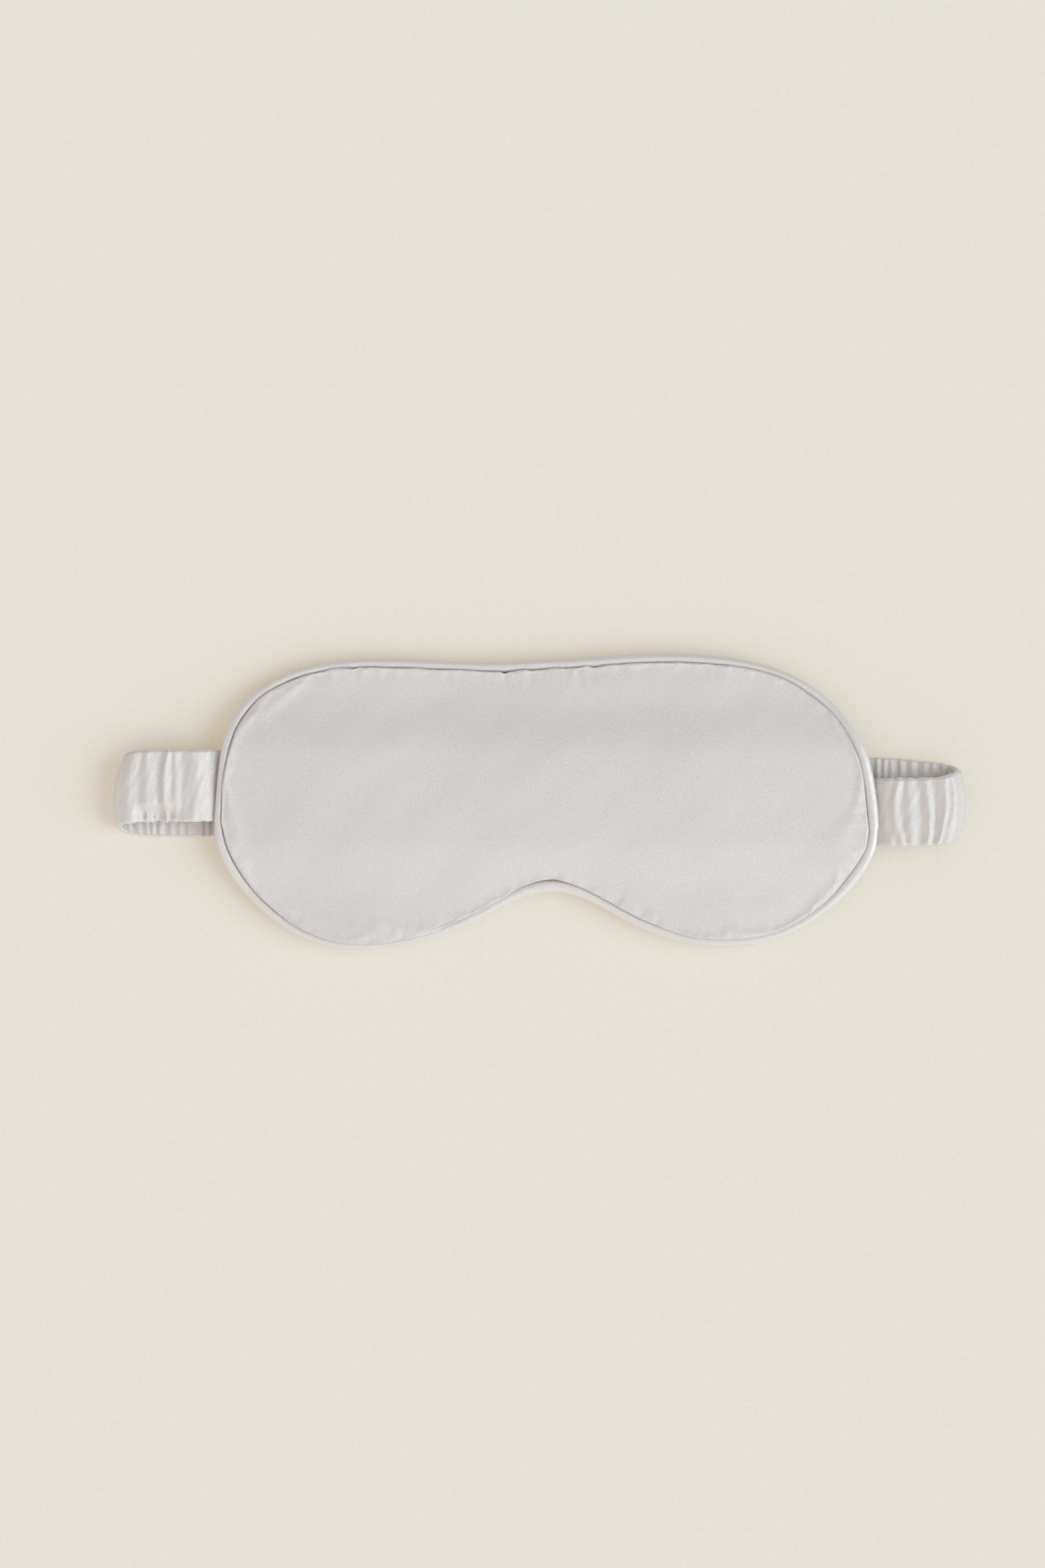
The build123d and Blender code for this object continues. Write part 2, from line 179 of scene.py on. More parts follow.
edge_at, chord = periodic_spline(OUTLINE)
dense = np.linspace(0, chord[-1], 24001)[:-1]
dense_xy = edge_at(dense)
dense_steps = np.diff(np.vstack([dense_xy, dense_xy[:1]]), axis=0)
dense_arc = np.concatenate([[0.0], np.cumsum(np.linalg.norm(dense_steps, axis=1))])
perimeter = dense_arc[-1]
arc_left = dense_arc[int(np.argmin(dense_xy[:, 0]))]
arc_right = dense_arc[int(np.argmax(dense_xy[:, 0]))]
brow_length = (arc_right - arc_left) % perimeter
cheek_length = perimeter - brow_length
fractions = np.arange(HALF_STATIONS)
stations = np.concatenate([
    arc_left + brow_length * fractions / HALF_STATIONS,
    arc_left + brow_length + cheek_length * fractions / HALF_STATIONS,
])
station_chord = np.interp(np.mod(stations, perimeter), dense_arc, np.append(dense, chord[-1]))
EDGE = edge_at(station_chord)
tangent = edge_at(station_chord + 0.4) - edge_at(station_chord - 0.4)
tangent /= np.linalg.norm(tangent, axis=1)[:, None]
INWARD = np.stack([tangent[:, 1], -tangent[:, 0]], 1)
PLACE = np.interp(station_chord, chord, np.arange(len(OUTLINE) + 1))   # along OUTLINE's points
STEP = perimeter / STATIONS


def table_along(table, sigma):
    """A table of (place, value) at every station, blurred by sigma mm."""
    places, values = [list(column) for column in zip(*table)]
    count = len(OUTLINE)
    places = [places[-1] - count] + places + [places[0] + count]
    values = [values[-1]] + values + [values[0]]
    return smooth_ring(np.interp(PLACE, places, values), sigma / STEP)


def edge_noise(seed, scale):
    return noise_at(np.column_stack([stations, stations * 0]), seed, scale)


def inset_edge(inset):
    """The pad's edge moved inwards by an inset for each station."""
    return EDGE + INWARD * inset[:, None]


crease = table_along(CREASE, 0.45) + 0.11 * edge_noise(77, 1.6)
crease_soft = smooth_ring(crease, 7.0 / STEP)
pucker = crease_soft - crease    # positive where the panel's edge bulges out over the piping
loose = np.clip(table_along(GROOVE, 3.0), 0, 1)
tight = edge_noise(3, 3.1)       # fine puckers along the seam
tight_broad = edge_noise(9, 6.3)
# half the piping's width, seen from above; more of it is tucked under a loose panel's edge
tucked = 0.30 + 0.5 * (1 - loose)
piping_half = np.maximum((crease_soft * 0.75 + crease * 0.25 + tucked) / 2, 1.15)


# ------------------------------------------------------------------ mesh helpers
def add_mesh(name, vertices, faces):
    mesh = bpy.data.meshes.new(name)
    mesh.from_pydata((np.asarray(vertices) * MM).tolist(), [], faces)
    mesh.validate()
    mesh.shade_smooth()
    mesh.update()
    piece = bpy.data.objects.new(name, mesh)
    bpy.context.scene.collection.objects.link(piece)
    return piece


def ring_faces(rings, count, flip=False, closed=False):
    """Quads between rings of count vertices; closed joins the last ring to the first."""
    faces = []
    for k in range(rings if closed else rings - 1):
        a, b = k * count, (k + 1) % rings * count
        for i in range(count):
            j = (i + 1) % count
            quad = (a + i, b + i, b + j, a + j)
            faces.append(quad[::-1] if flip else quad)
    return faces


def sag(xy):
    """The pad lies over its strap, and its brow and cheeks settle towards the table."""
    return 2.0 * smoothstep((np.abs(xy[..., 1] - 1.5) - 13.0) / 20.0)


# ------------------------------------------------------------------ panel meshes
CORNER = 48       # stations each side of far left and right that end a panel's middle grid
THIN = 4          # the simulated cover and the wadding take every fourth station


def corner_of(count):
    return CORNER * count // STATIONS


def grid_border(count):
    """Which points of a ring lie along the middle grid's top, bottom, left and right sides."""
    half, corner = count // 2, corner_of(count)
    columns, rows = np.arange(half - 2 * corner + 1), np.arange(2 * corner + 1)
    return ((corner + columns) % count, (count - corner - columns) % count,
            (count - corner + rows) % count, (half + corner - rows) % count)


def set_border(grid, ring):
    top, bottom, left, right = grid_border(len(ring))
    grid[:, 0] = ring[bottom]
    grid[:, -1] = ring[top]
    grid[0, :] = ring[left]
    grid[-1, :] = ring[right]


def middle_grid(ring):
    """Fills the inside of a ring, seen from above, with an even grid: (columns, rows, 2)."""
    top, bottom, left, right = [ring[side] for side in grid_border(len(ring))]
    u = (np.arange(len(top)) / (len(top) - 1))[:, None, None]
    v = (np.arange(len(left)) / (len(left) - 1))[None, :, None]
    grid = (1 - v) * bottom[:, None] + v * top[:, None] + (1 - u) * left[None] + u * right[None]
    grid -= ((1 - u) * (1 - v) * bottom[0] + u * (1 - v) * bottom[-1]
             + (1 - u) * v * top[0] + u * v * top[-1])
    for _ in range(500):
        grid[1:-1, 1:-1] = 0.25 * (grid[:-2, 1:-1] + grid[2:, 1:-1]
                                   + grid[1:-1, :-2] + grid[1:-1, 2:])
    return grid


def panel_mesh(rings, inner, flip):
    """Vertices and faces of closed rings from a panel's edge inwards, then the middle grid."""
    count = len(rings[0])
    columns, rows = inner.shape[:2]
    vertices = np.vstack(list(rings) + [inner.reshape(-1, 3)])
    faces = ring_faces(len(rings), count, flip=flip)
    index = np.empty((columns + 2, rows + 2), int)
    index[1:-1, 1:-1] = len(rings) * count + np.arange(columns * rows).reshape(columns, rows)
    set_border(index, (len(rings) - 1) * count + np.arange(count))
    quad = [index[:-1, :-1], index[1:, :-1], index[1:, 1:], index[:-1, 1:]]
    quads = np.stack(quad[::-1] if flip else quad, -1).reshape(-1, 4)
    faces += [tuple(q) for q in quads.tolist()]
    return vertices, faces


def calm_corners(piece, ring):
    """The faces near the middle grid's corners are badly shaped, so they take their shading
    from the cloth around them. ring is the grid's border."""
    mesh = piece.data
    points = np.empty(len(mesh.vertices) * 3)
    mesh.vertices.foreach_get("co", points)
    points = points.reshape(-1, 3) / MM
    normals = np.array([v.vector[:] for v in mesh.vertex_normals])
    count, corner = len(ring), corner_of(len(ring))
    for k in (corner, count // 2 - corner, count // 2 + corner, count - corner):
        distance = np.linalg.norm(points[:, :2] - ring[k][:2], axis=1)
        same_side = np.sign(normals[:, 2]) == np.sign(normals[np.argmin(distance), 2])
        around = (distance > 2.6) & (distance < 5.0) & same_side
        mean = normals[around].mean(0)
        share = (smoothstep((3.6 - distance) / 1.6) * same_side)[:, None]
        normals = normals * (1 - share) + mean * share
    normals /= np.linalg.norm(normals, axis=1)[:, None]
    mesh.normals_split_custom_set_from_vertices(normals.tolist())


def thin_out(rings, inner):
    """The same panel on every fourth station and grid line."""
    return [ring[::THIN] for ring in rings], inner[THIN - 1::THIN, THIN - 1::THIN]


def spread(values, axis, periodic):
    """Straight-line fill between every fourth sample along an axis."""
    v = np.moveaxis(values, axis, 0)
    if periodic:
        v = np.concatenate([v, v[:1]])
    filled = np.concatenate([v[:-1] + (v[1:] - v[:-1]) * (k / THIN) for k in range(THIN)], axis=0)
    filled = filled.reshape(THIN, len(v) - 1, *v.shape[1:])
    filled = np.moveaxis(filled, 0, 1).reshape(-1, *v.shape[1:])
    if not periodic:
        filled = np.concatenate([filled, v[-1:]])
    return np.moveaxis(filled, 0, axis)


PINNED_RINGS = 6
COVER_CLOTH = dict(
    quality=6, mass=0.12, air_damping=3.0,
    tension_stiffness=12, compression_stiffness=12, shear_stiffness=4, bending_stiffness=0.35,
    shrink_min=-0.004,               # negative: the cloth is cut a little full
    vertex_group_mass="seam", use_pressure=True, uniform_pressure_force=3.0,
)
COVER_FRAMES = 20


def simulate_cover(name, rings, inner, up, limit):
    """Cloth simulation of a satin cover held along its seam and pushed out by its wadding.
    Returns how far each ring point and each middle point moves, never more than limit."""
    rings, inner = thin_out(rings, inner)
    vertices, faces = panel_mesh(rings, inner, flip=up > 0)
    cover = add_mesh(name, vertices, faces)
    count = len(rings[0])
    held = cover.vertex_groups.new(name="seam")
    held.add(list(range(PINNED_RINGS * count)), 1.0, "REPLACE")
    cloth = cover.modifiers.new("cover", "CLOTH")
    for key, value in COVER_CLOTH.items():
        setattr(cloth.settings, key, value)
    cloth.settings.effector_weights.gravity = 0
    cloth.collision_settings.use_collision = False
    scene = bpy.context.scene
    for f in range(1, COVER_FRAMES + 1):
        scene.frame_set(f)
    evaluated = cover.evaluated_get(bpy.context.evaluated_depsgraph_get())
    settled = np.empty(len(vertices) * 3, np.float32)
    evaluated.data.vertices.foreach_get("co", settled)
    move = settled.reshape(-1, 3).astype(float) / MM - vertices
    mesh = cover.data
    bpy.data.objects.remove(cover)
    bpy.data.meshes.remove(mesh)
    scene.frame_set(1)
    if not np.isfinite(move).all():      # a simulation that blew up moves nothing
        move[:] = 0
    size = np.linalg.norm(move, axis=1)
    move *= (limit * np.tanh(size / limit) / np.maximum(size, 1e-9))[:, None]
    ring_move = move[:len(rings) * count].reshape(len(rings), count, 3)
    grid = np.empty((inner.shape[0] + 2, inner.shape[1] + 2, 3))
    grid[1:-1, 1:-1] = move[len(rings) * count:].reshape(inner.shape)
    set_border(grid, ring_move[-1])
    grid = spread(spread(grid, 0, False), 1, False)
    return spread(ring_move, 1, True), grid[1:-1, 1:-1]


# ------------------------------------------------------------------ front and back panels
# distances of a panel's rings in from its edge
RING_INSETS = [0.0, 0.05, 0.13, 0.24, 0.4, 0.62, 0.9, 1.25, 1.7, 2.25, 2.9, 3.7, 4.7, 5.9, 7.3,
               9.0, 11.0, 13.2]
CREASE_GAP = 0.06                # from the crease to the front panel's edge
FRONT_CREASE_Z = 8.75            # the front panel's edge where the crease is closed
FRONT_LIP_Z = 9.55               # top of its rolled edge
FRONT_SHOULDER = 1.15            # rise over the outer SHOULDER_WIDTH
FRONT_CROWN = 0.55               # further slow rise towards the middle
BACK_EDGE_Z = 6.45
BACK_ROLL = 1.75                 # drop of the back panel's rolled edge
BACK_SHOULDER = 1.95             # drop over the outer SHOULDER_WIDTH
BACK_FLOOR_Z = 2.45              # the strap below stops the back panel here
SHOULDER_WIDTH = 13.0
RELIEF_WIDTH = 9.0               # the slow relief fades in over this distance


def soft_relief(xy, seed, amount):
    """Slow hollows and faint drag lines of a satin cover over wadding."""
    broad = noise_at(xy, seed, 46.0)
    small = noise_at(xy, seed + 1, 21.0)
    x, y = xy[:, 0], xy[:, 1]
    slanted = np.column_stack([x * 0.8 + y * 0.6, (y * 0.8 - x * 0.6) * 3.0])
    drag = noise_at(slanted, seed + 2, 30.0)
    return amount * (0.55 * broad + 0.25 * small + 0.18 * drag)


def front_relief(xy):
    return soft_relief(xy, 21, 1.0)


def back_relief(xy):
    """Shallower, as the back panel lies flat where it rests on the strap."""
    return soft_relief(xy, 55, 0.5)


def front_crown(distance):
    return FRONT_CROWN * smoothstep((distance - 6) / 30.0)


def front_height(inset, distance):
    """Height of the front panel's ring at an inset from its edge; distance is the same from
    the smoothed edge."""
    low = FRONT_CREASE_Z - 0.55 * loose
    lip = FRONT_LIP_Z + 0.10 * pucker * np.exp(-inset / 1.5)
    z = low + (lip - low) * level_off(inset / 0.6, 3.0) ** (1 / 3.0)
    z += FRONT_SHOULDER * level_off(distance / SHOULDER_WIDTH, 2.3)
    z += front_crown(distance)
    fade = np.exp(-inset / 1.9) * np.clip(inset / 0.4, 0, 1)
    z += fade * (0.2 * tight * (0.3 + 0.7 * loose) + 0.06 * tight_broad
                 + 0.3 * np.clip(pucker, -0.8, 0.8))
    return z


def front_cap(xy):
    """Height of the front panel's middle."""
    line = inset_edge(crease_soft + CREASE_GAP)[::2]
    distance = np.empty(len(xy))
    for i in range(0, len(xy), 2000):            # in blocks, to spare memory
        offset = xy[i:i + 2000, None, :] - line[None]
        distance[i:i + 2000] = np.sqrt((offset ** 2).sum(2).min(1))
    return FRONT_LIP_Z + FRONT_SHOULDER + front_crown(distance) + front_relief(xy)


def back_cap(xy):
    """Height of the back panel's middle."""
    return BACK_EDGE_Z - BACK_ROLL - BACK_SHOULDER + back_relief(xy)


def finish_panel(name, rings, cap, up, limit):
    """Adds the middle, lets the cover swell, and sags the whole; up is 1 in front, -1 behind."""
    grid = middle_grid(rings[-1][:, :2])[1:-1, 1:-1]
    flat = grid.reshape(-1, 2)
    inner = np.column_stack([flat, cap(flat)]).reshape(*grid.shape[:2], 3)
    ring_move, inner_move = simulate_cover(name, rings, inner, up, limit)
    rings = [ring + move for ring, move in zip(rings, ring_move)]
    inner = inner + inner_move
    for part in rings + [inner]:
        if up < 0:
            z = part[..., 2]
            pressed = BACK_FLOOR_Z + (z - BACK_FLOOR_Z) * 0.1
            part[..., 2] = np.where(z < BACK_FLOOR_Z, pressed, z)
        part[..., 2] -= sag(part)
    return rings, inner


def shape_front():
    # the turned-in edge ends under the piping
    turned_in = inset_edge(np.minimum(crease - 0.05, 2 * piping_half - 0.5))
    rings = [np.column_stack([turned_in, 8.45 - 1.35 * loose])]
    for inset in RING_INSETS:
        soft = smoothstep(inset / 6.0)
        start = crease * (1 - soft) + crease_soft * soft
        xy = inset_edge(start + inset + CREASE_GAP)
        z = front_height(inset, np.maximum(inset + start - crease_soft, 0))
        z += front_relief(xy) * smoothstep(inset / RELIEF_WIDTH)
        rings.append(np.column_stack([xy, z]))
    return finish_panel("front_cover", rings, front_cap, up=1, limit=0.6)


def shape_back():
    rings = []
    start = crease_soft * 0.6 + 1.1 + 0.15 * tight
    start_soft = smooth_ring(start, 9)
    for ring_inset in [-0.45] + RING_INSETS:     # the first ring is tucked under the piping
        inset = max(ring_inset, 0.0)
        soft = smoothstep(inset / 6.0)
        xy = inset_edge(start * (1 - soft) + start_soft * soft + ring_inset)
        z = BACK_EDGE_Z - BACK_ROLL * level_off(inset / 1.6, 2.4) ** (1 / 2.4)
        z -= BACK_SHOULDER * level_off(inset / SHOULDER_WIDTH, 2.2)
        fade = np.exp(-inset / 3.0) * np.clip(inset / 0.4, 0, 1)
        z = z + fade * (0.18 * tight + 0.12 * tight_broad)
        z += back_relief(xy) * smoothstep(inset / RELIEF_WIDTH)
        if ring_inset < 0:
            z += 0.1
        rings.append(np.column_stack([xy, z]))
    return finish_panel("back_cover", rings, back_cap, up=-1, limit=0.4)


# ------------------------------------------------------------------ piping and its cord
PIPING_Z = 7.5
PIPING_RADIUS = 1.5              # half the piping's height
PIPING_JOIN = 27.33              # place along OUTLINE's points, at the far right
PIPING_SIDES = 30
CORD_RADIUS = 0.72
CORD_STRANDS = 3
CORD_LAY = 12.0                  # length of edge in which the strands go once round
CORD_SIDES = 24


def station_major(rows):
    """Vertices station by station, from one row of points along the edge for each side."""
    return np.transpose(np.array(rows), (1, 0, 2)).reshape(-1, 3)


def shape_piping():
    """The covered cord that runs round the pad, with its ends lapped at the right side."""
    past_join = PLACE - PIPING_JOIN
    lap = 0.13 * (np.where(past_join < 0, 1.0, -1.0) * np.exp(-np.abs(past_join) / 0.3))
    fine = edge_noise(14, 5.0)
    rows = []
    for j in range(PIPING_SIDES):
        angle = 2 * math.pi * j / PIPING_SIDES
        across, rise = math.cos(angle), math.sin(angle)
        twist = np.column_stack([stations + 1.3 * rise, np.full(STATIONS, 2.2 * across)])
        radius = 1 + 0.022 * noise_at(twist, 31, 2.4) + 0.015 * fine + lap / piping_half
        # angle 0 is the outermost point; towards the panel the cloth is drawn square over the cord
        square = 1.0 if across > 0 else (abs(across) ** 2.7 + abs(rise) ** 2.7) ** (-1 / 2.7)
        xy = inset_edge(piping_half - piping_half * radius * across * square)
        z = PIPING_Z + PIPING_RADIUS * radius * rise * square
        rows.append(np.column_stack([xy, z - sag(EDGE)]))
    faces = ring_faces(STATIONS, PIPING_SIDES, flip=True, closed=True)
    # each quad starts a corner earlier, which sets the diagonal it is split along
    return station_major(rows), [quad[-1:] + quad[:-1] for quad in faces]


def shape_cord():
    """Three strands laid round each other, inside the piping."""
    rows = []
    for j in range(CORD_SIDES):
        angle = 2 * math.pi * j / CORD_SIDES
        strand = np.cos(CORD_STRANDS * (angle - 2 * math.pi * stations / CORD_LAY))
        room = np.minimum(piping_half, PIPING_RADIUS) / PIPING_RADIUS
        radius = CORD_RADIUS * room * (1 + 0.1 * strand)
        xy = inset_edge(piping_half - radius * math.cos(angle))
        rows.append(np.column_stack([xy, PIPING_Z + radius * math.sin(angle) - sag(EDGE)]))
    return station_major(rows), ring_faces(STATIONS, CORD_SIDES, flip=True, closed=True)


# ------------------------------------------------------------------ strap path
# x, z, centre of width in y, half width, half thickness; from the left seam round to the right
STRAP_PATH = [
    (-98.0, 5.05, 5.2, 10.9, 0.52), (-103.8, 5.20, 5.2, 11.1, 0.58), (-105.4, 6.6, 5.25, 11.3, 0.72),
    (-107.4, 8.2, 5.3, 11.4, 0.85), (-110.6, 9.05, 5.3, 11.4, 0.9), (-116.0, 9.2, 5.3, 11.4, 0.9),
    (-122.0, 9.2, 5.3, 11.4, 0.9), (-128.0, 9.2, 5.15, 11.4, 0.9), (-131.2, 9.2, 4.9, 11.4, 0.9),
    (-134.0, 8.8, 4.6, 11.5, 0.9), (-136.0, 7.2, 4.2, 11.6, 0.9), (-136.5, 5.1, 3.6, 11.7, 0.9),
    (-136.0, 3.2, 2.9, 11.7, 0.85), (-134.0, 1.7, 2.0, 11.6, 0.8), (-131.2, 1.25, 1.3, 11.5, 0.75),
    (-127.0, 1.25, 0.7, 11.4, 0.72), (-118.0, 1.25, 0.45, 11.35, 0.7), (-110.0, 1.2, 0.4, 11.3, 0.7),
    (-102.0, 1.08, 0.45, 11.25, 0.62), (-60.0, 1.05, 0.95, 11.25, 0.6), (0.0, 1.05, 1.65, 11.25, 0.6),
    (60.0, 1.05, 2.35, 11.25, 0.6), (98.0, 1.08, 2.85, 11.25, 0.62), (104.0, 1.2, 2.8, 11.3, 0.68),
    (111.0, 1.25, 2.3, 11.35, 0.7), (119.0, 1.25, 1.55, 11.4, 0.72), (126.0, 1.25, 0.75, 11.5, 0.75),
    (129.2, 1.7, 0.2, 11.5, 0.8), (131.0, 3.2, -0.3, 11.5, 0.85), (131.4, 5.1, -0.8, 11.4, 0.9),
    (131.0, 7.2, -1.3, 11.3, 0.9), (129.2, 8.7, -1.9, 11.1, 0.9), (126.2, 9.2, -2.6, 10.9, 0.9),
    (121.0, 9.2, -3.05, 10.8, 0.9), (115.0, 9.2, -3.15, 10.8, 0.9),
    (109.8, 9.05, -3.15, 10.75, 0.88), (106.9, 8.35, -3.15, 10.75, 0.84),
    (105.0, 7.0, -3.15, 10.7, 0.72), (103.7, 5.4, -3.15, 10.7, 0.62),
    (101.8, 5.05, -3.15, 10.7, 0.55),
]
STRAP_STEP = 0.32


def lengths_along(points):
    steps = np.linalg.norm(np.diff(points[:, :2], axis=0), axis=1)
    return np.concatenate([[0], np.cumsum(steps)])


def smooth_path(points, step):
    """The strap's middle line, rounded and evenly spaced: length along it, and its columns."""
    table = np.array(points, float)
    knots = lengths_along(table)
    fine_at = np.arange(0, knots[-1], 0.1)
    fine = np.column_stack([np.interp(fine_at, knots, column) for column in table.T])
    sigma = 12                       # fine samples
    pad = 3 * sigma
    weights = bell(pad, sigma)
    rounded = np.empty_like(fine)
    for c, column in enumerate(fine.T):
        padded = np.concatenate([2 * column[0] - column[pad:0:-1], column,
                                 2 * column[-1] - column[-2:-pad - 2:-1]])
        rounded[:, c] = np.convolve(padded, weights, "valid")
    rounded_at = lengths_along(rounded)
    at = np.arange(0, rounded_at[-1], step)
    return at, [np.interp(at, rounded_at, column) for column in rounded.T]


along, (path_x, path_z, middle_y, half_width, half_thick) = smooth_path(STRAP_PATH, STRAP_STEP)
slope_x, slope_z = np.gradient(path_x, along), np.gradient(path_z, along)
slope = np.hypot(slope_x, slope_z)
out_x, out_z = slope_z / slope, -slope_x / slope     # points out of the loop
left_end = int(np.argmin(path_x))                    # the two turns
right_end = int(np.argmax(path_x))


# length along the strap at an x, on each of its three runs
def upper_left(x):
    return np.interp(-x, -path_x[:left_end + 1], along[:left_end + 1])


def lower(x):
    return np.interp(x, path_x[left_end:right_end + 1], along[left_end:right_end + 1])


def upper_right(x):
    return np.interp(-x, -path_x[right_end:], along[right_end:])


# ------------------------------------------------------------------ strap gathers
# folds of the two upper lengths, from each seam to its turn:
# x at the top edge (+y), middle and bottom edge, then the height at each
LEFT_FOLDS = [
    (-104.377, -104.377, -104.377, 0.0, 0.0, 0.0), (-107.955, -107.323, -108.165, 0.05, 0.0, 0.05),
    (-111.742, -110.480, -111.953, 0.55, 0.35, 0.4),
    (-114.899, -115.109, -115.320, -0.45, -0.2, -0.4),
    (-117.424, -116.793, -117.214, 0.3, 0.22, 0.25),
    (-118.371, -118.266, -118.266, 0.0, -0.02, 0.02),
    (-119.318, -120.896, -119.949, 0.95, 0.95, 0.8),
    (-121.002, -122.475, -121.423, -0.6, -0.7, -0.6),
    (-124.369, -124.369, -124.158, 0.0, 0.05, 0.0),
    (-126.894, -126.263, -126.473, 0.55, 0.45, 0.45),
    (-129.209, -128.577, -128.367, -0.2, -0.3, -0.25),
]
RIGHT_FOLDS = [
    (104.377, 104.377, 104.377, 0.0, 0.0, 0.0), (106.481, 105.850, 106.061, -0.15, -0.2, -0.1),
    (108.375, 107.113, 108.586, 0.25, 0.15, 0.35), (109.428, 108.165, 110.480, -0.05, -0.05, -0.1),
    (111.111, 109.638, 112.374, 0.65, 0.6, 0.55), (112.795, 111.953, 113.636, -0.1, -0.15, -0.1),
    (114.057, 114.478, 114.899, 0.25, 0.45, 0.3), (116.793, 118.056, 117.635, -0.35, -0.35, -0.35),
    (119.318, 120.791, 120.370, 0.55, 0.6, 0.5), (121.423, 122.264, 121.843, -0.3, -0.35, -0.3),
    (123.527, 123.948, 122.685, 0.0, -0.05, 0.0), (126.052, 125.631, 124.369, 0.6, 0.6, 0.55),
    (126.894, 126.578, 125.210, 0.1, 0.1, 0.1), (128.157, 128.157, 127.104, 0.35, 0.35, 0.3),
]
# the left turn's random folds start past the mean of the lengths at these two x
LEFT_FOLDS_END = (-132.997, -126.684)

ROWS = 49                        # across each sheet of the casing
ACROSS = np.linspace(-1, 1, ROWS)
STRAP_STATIONS = len(along)


def placed_folds(folds, along_at):
    return [(*along_at(np.array(fold[:3])), *fold[3:]) for fold in folds]


def random_folds(spans):
    """Gathers across the strap, as places and heights at the top edge, middle and bottom edge.
    A span is start, end, pitch, crest height, valley depth, drift."""
    folds = []
    for start, end, pitch, crest, valley, drift in spans:
        at = start
        while at < end:
            width = pitch * RNG.uniform(0.7, 1.35)
            top, middle, bottom = RNG.uniform(-drift, drift, 3)
            crests = crest * RNG.uniform(0.55, 1.2, 3)
            valleys = -valley * RNG.uniform(0.5, 1.15, 3)
            folds.append((at + top, at + middle * 0.5, at + bottom, *crests))
            folds.append((at + width * 0.55 + top * 0.9, at + width * 0.5 + middle * 0.5,
                          at + width * 0.55 + bottom * 0.9, *valleys))
            at += width
    return folds


def fold_lists():
    """The folds of the outer and the inner sheet."""
    left = placed_folds(LEFT_FOLDS, upper_left)
    right = sorted(placed_folds(RIGHT_FOLDS, upper_right))
    left_last = upper_left(np.array(LEFT_FOLDS_END)).mean()
    outer = left + random_folds([
        (left_last + 2.2, lower(-128), 3.8, 0.4, 0.45, 0.7),
        (lower(-127), lower(-108), 3.1, 0.4, 0.5, 0.6),
        (lower(-107), lower(103), 3.4, 0.36, 0.45, 0.7),
        (lower(104.5), lower(122), 3.2, 0.4, 0.5, 0.6),
        (lower(123.5), right[0][1] - 2.2, 3.6, 0.4, 0.45, 0.6),
    ]) + right
    inner = random_folds([
        (2.0, along[left_end], 3.2, 0.4, 0.5, 0.6),
        (along[left_end] + 2.2, lower(-106), 3.0, 0.45, 0.5, 0.5),
        (lower(-104.5), lower(101), 3.4, 0.34, 0.42, 0.7),
        (lower(102.5), along[right_end], 2.9, 0.5, 0.5, 0.55),
        (along[right_end] + 2.2, along[-1] - 1, 3.2, 0.4, 0.5, 0.6),
    ])
    return outer, inner


def shape_keeping_cubic(knots, values, x):
    """A cubic through the knots that never overshoots them."""
    gaps = np.diff(knots)
    slopes = np.diff(values) / gaps
    same = slopes[:-1] * slopes[1:] > 0
    w1, w2 = 2 * gaps[1:] + gaps[:-1], gaps[1:] + 2 * gaps[:-1]
    with np.errstate(divide="ignore", invalid="ignore"):
        mean = (w1 + w2) / (w1 / slopes[:-1] + w2 / slopes[1:])
    tangents = np.zeros(len(knots))
    tangents[1:-1] = np.where(same, mean, 0)
    i = np.clip(np.searchsorted(knots, x, side="right") - 1, 0, len(knots) - 2)
    t = (x - knots[i]) / gaps[i]
    return (values[i] * (1 + 2 * t) * (1 - t) ** 2 + tangents[i] * gaps[i] * t * (1 - t) ** 2
            + values[i + 1] * t * t * (3 - 2 * t) + tangents[i + 1] * gaps[i] * t * t * (t - 1))


def relief(folds):
    """Height of the gathers over the strap: stations by rows across the width."""
    table = np.array(folds)
    table = table[np.argsort(table[:, 1])]
    sheet = np.empty((STRAP_STATIONS, ROWS))
    # a cloth has no edge sharper than its own thickness
    cloth_thickness = 0.27
    weights = bell(4, cloth_thickness / STRAP_STEP)
    for j, v in enumerate(ACROSS):
        shares = np.array([v * (v + 1) / 2, 1 - v * v, v * (v - 1) / 2])
        places = (table[:, :3] * shares).sum(1)
        heights = (table[:, 3:] * shares).sum(1)
        order = np.argsort(places)
        places, heights = places[order], heights[order]
        keep = np.concatenate([[True], np.diff(places) > 0.35])
        keep &= (places > along[0]) & (places < along[-1])
        places = np.concatenate([[along[0] - 3, along[0] - 1], places[keep],
                                 [along[-1] + 1, along[-1] + 3]])
        heights = np.concatenate([[0, 0], heights[keep], [0, 0]])
        row = (0.68 * np.interp(along, places, heights)
               + 0.32 * shape_keeping_cubic(places, heights, along))
        sheet[:, j] = np.convolve(np.pad(row, 4, mode="edge"), weights, "valid")
    return sheet


def strap_noise(pitch, lean, across, layer, shift=0.0):
    return np.array([
        [noise.noise(Vector((u / pitch + v * lean, v * across + shift, layer))) for v in ACROSS]
        for u in along])


# ------------------------------------------------------------------ strap cross-sections
# where the cheek edge of the strap is pulled in, along the upper length at the left turn
drawn = (smoothstep((along - upper_left(-114.0)) / 7.0)
         * smoothstep((upper_left(-131.4) - along) / 5.0))


def cheek_drop(across):
    """How far the cheek edge drops where it is drawn in; across is -1 at that edge."""
    return 2.3 * drawn * smoothstep((-0.5 - across) / 0.42)


